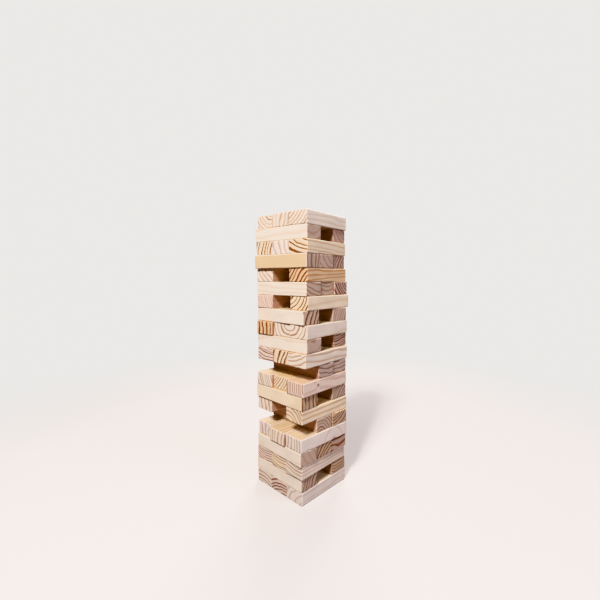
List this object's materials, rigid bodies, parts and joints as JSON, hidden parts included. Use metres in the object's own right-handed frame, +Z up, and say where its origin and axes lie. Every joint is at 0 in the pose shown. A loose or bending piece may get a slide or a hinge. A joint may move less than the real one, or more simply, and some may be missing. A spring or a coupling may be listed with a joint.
{
  "type": "giant tumbling tower",
  "caption": "Free-standing stack of large plain pine blocks, three to a crosswise layer with some drawn out; each block slides out and the top ones lift off.",
  "frame": {"origin": "centre of the underside of the middle block of the lowest layer, on the ground", "axes": "+Z up the tower; odd layers lie along Y and even layers along X, the lowest being turned 2 degrees clockwise seen from above"},
  "size_m": [0.1715, 0.1675, 0.6299],
  "materials": {
    "pine_pale": "sanded, unvarnished",
    "pine_cream": "sanded, unvarnished",
    "pine_honey": "sanded, unvarnished",
    "pine_rosy": "sanded, unvarnished",
    "pine_silver": "sanded, unvarnished"
  },
  "bodies": {
    "block_01_left": {"block_01_left": "pine_pale"},
    "block_01_middle": {"block_01_middle": "pine_rosy"},
    "block_01_right": {"block_01_right": "pine_silver"},
    "block_02_front": {"block_02_front": "pine_pale"},
    "block_02_back": {"block_02_back": "pine_cream"},
    "block_03_left": {"block_03_left": "pine_rosy"},
    "block_03_middle": {"block_03_middle": "pine_cream"},
    "block_03_right": {"block_03_right": "pine_pale"},
    "block_04_front": {"block_04_front": "pine_pale"},
    "block_04_middle": {"block_04_middle": "pine_cream"},
    "block_04_back": {"block_04_back": "pine_rosy"},
    "block_05_left": {"block_05_left": "pine_silver"},
    "block_05_middle": {"block_05_middle": "pine_pale"},
    "block_05_right": {"block_05_right": "pine_silver"},
    "block_06_middle": {"block_06_middle": "pine_pale"},
    "block_06_back": {"block_06_back": "pine_cream"},
    "block_07_left": {"block_07_left": "pine_pale"},
    "block_07_right": {"block_07_right": "pine_cream"},
    "block_08_front": {"block_08_front": "pine_cream"},
    "block_08_back": {"block_08_back": "pine_pale"},
    "block_09_left": {"block_09_left": "pine_pale"},
    "block_09_middle": {"block_09_middle": "pine_cream"},
    "block_09_right": {"block_09_right": "pine_rosy"},
    "block_10_middle": {"block_10_middle": "pine_silver"},
    "block_10_back": {"block_10_back": "pine_silver"},
    "block_11_left": {"block_11_left": "pine_rosy"},
    "block_11_middle": {"block_11_middle": "pine_cream"},
    "block_11_right": {"block_11_right": "pine_pale"},
    "block_12_front": {"block_12_front": "pine_pale"},
    "block_12_back": {"block_12_back": "pine_rosy"},
    "block_13_left": {"block_13_left": "pine_honey"},
    "block_13_middle": {"block_13_middle": "pine_pale"},
    "block_13_right": {"block_13_right": "pine_pale"},
    "block_14_front": {"block_14_front": "pine_pale"},
    "block_14_back": {"block_14_back": "pine_pale"},
    "block_15_left": {"block_15_left": "pine_rosy"},
    "block_15_right": {"block_15_right": "pine_cream"},
    "block_16_front": {"block_16_front": "pine_pale"},
    "block_16_middle": {"block_16_middle": "pine_pale"},
    "block_16_back": {"block_16_back": "pine_rosy"},
    "block_17_left": {"block_17_left": "pine_pale"},
    "block_17_right": {"block_17_right": "pine_honey"},
    "block_18_front": {"block_18_front": "pine_pale"},
    "block_18_middle": {"block_18_middle": "pine_pale"},
    "block_18_back": {"block_18_back": "pine_rosy"},
    "block_19_left": {"block_19_left": "pine_cream"},
    "block_19_middle": {"block_19_middle": "pine_silver"},
    "block_19_right": {"block_19_right": "pine_cream"},
    "block_20_front": {"block_20_front": "pine_pale"},
    "block_20_back": {"block_20_back": "pine_rosy"},
    "block_21_left": {"block_21_left": "pine_pale"},
    "block_21_middle": {"block_21_middle": "pine_pale"},
    "block_21_right": {"block_21_right": "pine_pale"}
  },
  "joints": [
    {"name": "block_01_left_draw", "type": "slide", "parent": "block_01_middle", "child": "block_01_left", "axis": [0.0349, 0.9994, 0], "range_m": [-0.15, 0.15]},
    {"name": "block_01_right_draw", "type": "slide", "parent": "block_01_middle", "child": "block_01_right", "axis": [0.0349, 0.9994, 0], "range_m": [-0.15, 0.15]},
    {"name": "block_02_front_draw", "type": "slide", "parent": "block_01_middle", "child": "block_02_front", "axis": [0.999, -0.0436, 0], "range_m": [-0.15, 0.15]},
    {"name": "block_02_back_draw", "type": "slide", "parent": "block_01_middle", "child": "block_02_back", "axis": [0.999, -0.0436, 0], "range_m": [-0.15, 0.15]},
    {"name": "block_03_left_draw", "type": "slide", "parent": "block_01_middle", "child": "block_03_left", "axis": [0.0175, 0.9998, 0], "range_m": [-0.15, 0.15]},
    {"name": "block_03_middle_draw", "type": "slide", "parent": "block_01_middle", "child": "block_03_middle", "axis": [0.0175, 0.9998, 0], "range_m": [-0.15, 0.15]},
    {"name": "block_03_right_draw", "type": "slide", "parent": "block_01_middle", "child": "block_03_right", "axis": [0.0175, 0.9998, 0], "range_m": [-0.15, 0.15]},
    {"name": "block_04_front_draw", "type": "slide", "parent": "block_01_middle", "child": "block_04_front", "axis": [0.9969, -0.0785, 0], "range_m": [-0.15, 0.15]},
    {"name": "block_04_middle_draw", "type": "slide", "parent": "block_01_middle", "child": "block_04_middle", "axis": [0.9969, -0.0785, 0], "range_m": [-0.15, 0.15]},
    {"name": "block_04_back_draw", "type": "slide", "parent": "block_01_middle", "child": "block_04_back", "axis": [0.9969, -0.0785, 0], "range_m": [-0.15, 0.15]},
    {"name": "block_05_left_draw", "type": "slide", "parent": "block_01_middle", "child": "block_05_left", "axis": [0.0698, 0.9976, 0], "range_m": [-0.15, 0.15]},
    {"name": "block_05_middle_draw", "type": "slide", "parent": "block_01_middle", "child": "block_05_middle", "axis": [0.0698, 0.9976, 0], "range_m": [-0.15, 0.15]},
    {"name": "block_05_right_draw", "type": "slide", "parent": "block_01_middle", "child": "block_05_right", "axis": [0.0698, 0.9976, 0], "range_m": [-0.15, 0.15]},
    {"name": "block_06_middle_draw", "type": "slide", "parent": "block_01_middle", "child": "block_06_middle", "axis": [0.9981, -0.061, 0], "range_m": [-0.15, 0.15]},
    {"name": "block_06_back_draw", "type": "slide", "parent": "block_01_middle", "child": "block_06_back", "axis": [0.9981, -0.061, 0], "range_m": [-0.15, 0.15]},
    {"name": "block_07_left_draw", "type": "slide", "parent": "block_01_middle", "child": "block_07_left", "axis": [0.0523, 0.9986, 0], "range_m": [-0.15, 0.15]},
    {"name": "block_07_right_draw", "type": "slide", "parent": "block_01_middle", "child": "block_07_right", "axis": [0.0523, 0.9986, 0], "range_m": [-0.15, 0.15]},
    {"name": "block_08_front_draw", "type": "slide", "parent": "block_01_middle", "child": "block_08_front", "axis": [0.999, -0.0436, 0], "range_m": [-0.15, 0.15]},
    {"name": "block_08_back_draw", "type": "slide", "parent": "block_01_middle", "child": "block_08_back", "axis": [0.999, -0.0436, 0], "range_m": [-0.15, 0.15]},
    {"name": "block_09_left_draw", "type": "slide", "parent": "block_01_middle", "child": "block_09_left", "axis": [0.0175, 0.9998, 0], "range_m": [-0.15, 0.15]},
    {"name": "block_09_middle_draw", "type": "slide", "parent": "block_01_middle", "child": "block_09_middle", "axis": [0.0175, 0.9998, 0], "range_m": [-0.15, 0.15]},
    {"name": "block_09_right_draw", "type": "slide", "parent": "block_01_middle", "child": "block_09_right", "axis": [0.0175, 0.9998, 0], "range_m": [-0.15, 0.15]},
    {"name": "block_10_middle_draw", "type": "slide", "parent": "block_01_middle", "child": "block_10_middle", "axis": [0.9994, -0.0349, 0], "range_m": [-0.15, 0.15]},
    {"name": "block_10_back_draw", "type": "slide", "parent": "block_01_middle", "child": "block_10_back", "axis": [0.9994, -0.0349, 0], "range_m": [-0.15, 0.15]},
    {"name": "block_11_left_draw", "type": "slide", "parent": "block_01_middle", "child": "block_11_left", "axis": [-0.0087, 1, 0], "range_m": [-0.15, 0.15]},
    {"name": "block_11_middle_draw", "type": "slide", "parent": "block_01_middle", "child": "block_11_middle", "axis": [-0.0087, 1, 0], "range_m": [-0.15, 0.15]},
    {"name": "block_11_right_draw", "type": "slide", "parent": "block_01_middle", "child": "block_11_right", "axis": [-0.0087, 1, 0], "range_m": [-0.15, 0.15]},
    {"name": "block_12_front_draw", "type": "slide", "parent": "block_01_middle", "child": "block_12_front", "axis": [0.9998, 0.0175, 0], "range_m": [-0.15, 0.15]},
    {"name": "block_12_back_draw", "type": "slide", "parent": "block_01_middle", "child": "block_12_back", "axis": [0.9998, 0.0175, 0], "range_m": [-0.15, 0.15]},
    {"name": "block_13_left_draw", "type": "slide", "parent": "block_01_middle", "child": "block_13_left", "axis": [-0.0349, 0.9994, 0], "range_m": [-0.15, 0.15]},
    {"name": "block_13_middle_draw", "type": "slide", "parent": "block_01_middle", "child": "block_13_middle", "axis": [-0.0349, 0.9994, 0], "range_m": [-0.15, 0.15]},
    {"name": "block_13_right_draw", "type": "slide", "parent": "block_01_middle", "child": "block_13_right", "axis": [-0.0349, 0.9994, 0], "range_m": [-0.15, 0.15]},
    {"name": "block_14_front_draw", "type": "slide", "parent": "block_01_middle", "child": "block_14_front", "axis": [0.999, -0.0436, 0], "range_m": [-0.15, 0.15]},
    {"name": "block_14_back_draw", "type": "slide", "parent": "block_01_middle", "child": "block_14_back", "axis": [0.999, -0.0436, 0], "range_m": [-0.15, 0.15]},
    {"name": "block_15_left_draw", "type": "slide", "parent": "block_01_middle", "child": "block_15_left", "axis": [-0.0175, 0.9998, 0], "range_m": [-0.15, 0.15]},
    {"name": "block_15_right_draw", "type": "slide", "parent": "block_01_middle", "child": "block_15_right", "axis": [-0.0175, 0.9998, 0], "range_m": [-0.15, 0.15]},
    {"name": "block_16_front_draw", "type": "slide", "parent": "block_01_middle", "child": "block_16_front", "axis": [0.9997, 0.0262, 0], "range_m": [-0.15, 0.15]},
    {"name": "block_16_middle_draw", "type": "slide", "parent": "block_01_middle", "child": "block_16_middle", "axis": [0.9997, 0.0262, 0], "range_m": [-0.15, 0.15]},
    {"name": "block_16_back_draw", "type": "slide", "parent": "block_01_middle", "child": "block_16_back", "axis": [0.9997, 0.0262, 0], "range_m": [-0.15, 0.15]},
    {"name": "block_17_left_draw", "type": "slide", "parent": "block_01_middle", "child": "block_17_left", "axis": [-0.061, 0.9981, 0], "range_m": [-0.15, 0.15]},
    {"name": "block_17_right_draw", "type": "slide", "parent": "block_01_middle", "child": "block_17_right", "axis": [-0.061, 0.9981, 0], "range_m": [-0.15, 0.15]},
    {"name": "block_18_front_draw", "type": "slide", "parent": "block_01_middle", "child": "block_18_front", "axis": [0.9976, 0.0698, 0], "range_m": [-0.15, 0.15]},
    {"name": "block_18_middle_draw", "type": "slide", "parent": "block_01_middle", "child": "block_18_middle", "axis": [0.9976, 0.0698, 0], "range_m": [-0.15, 0.15]},
    {"name": "block_18_back_draw", "type": "slide", "parent": "block_01_middle", "child": "block_18_back", "axis": [0.9976, 0.0698, 0], "range_m": [-0.15, 0.15]},
    {"name": "block_19_left_draw", "type": "slide", "parent": "block_01_middle", "child": "block_19_left", "axis": [-0.0785, 0.9969, 0], "range_m": [-0.15, 0.15]},
    {"name": "block_19_middle_draw", "type": "slide", "parent": "block_01_middle", "child": "block_19_middle", "axis": [-0.0785, 0.9969, 0], "range_m": [-0.15, 0.15]},
    {"name": "block_19_right_draw", "type": "slide", "parent": "block_01_middle", "child": "block_19_right", "axis": [-0.0785, 0.9969, 0], "range_m": [-0.15, 0.15]},
    {"name": "block_20_front_draw", "type": "slide", "parent": "block_01_middle", "child": "block_20_front", "axis": [0.9976, 0.0698, 0], "range_m": [-0.15, 0.15]},
    {"name": "block_20_back_draw", "type": "slide", "parent": "block_01_middle", "child": "block_20_back", "axis": [0.9976, 0.0698, 0], "range_m": [-0.15, 0.15]},
    {"name": "block_21_left_lift", "type": "slide", "parent": "block_01_middle", "child": "block_21_left", "axis": [0, 0, 1], "range_m": [0, 0.15]},
    {"name": "block_21_middle_lift", "type": "slide", "parent": "block_01_middle", "child": "block_21_middle", "axis": [0, 0, 1], "range_m": [0, 0.15]},
    {"name": "block_21_right_lift", "type": "slide", "parent": "block_01_middle", "child": "block_21_right", "axis": [0, 0, 1], "range_m": [0, 0.15]}
  ]
}
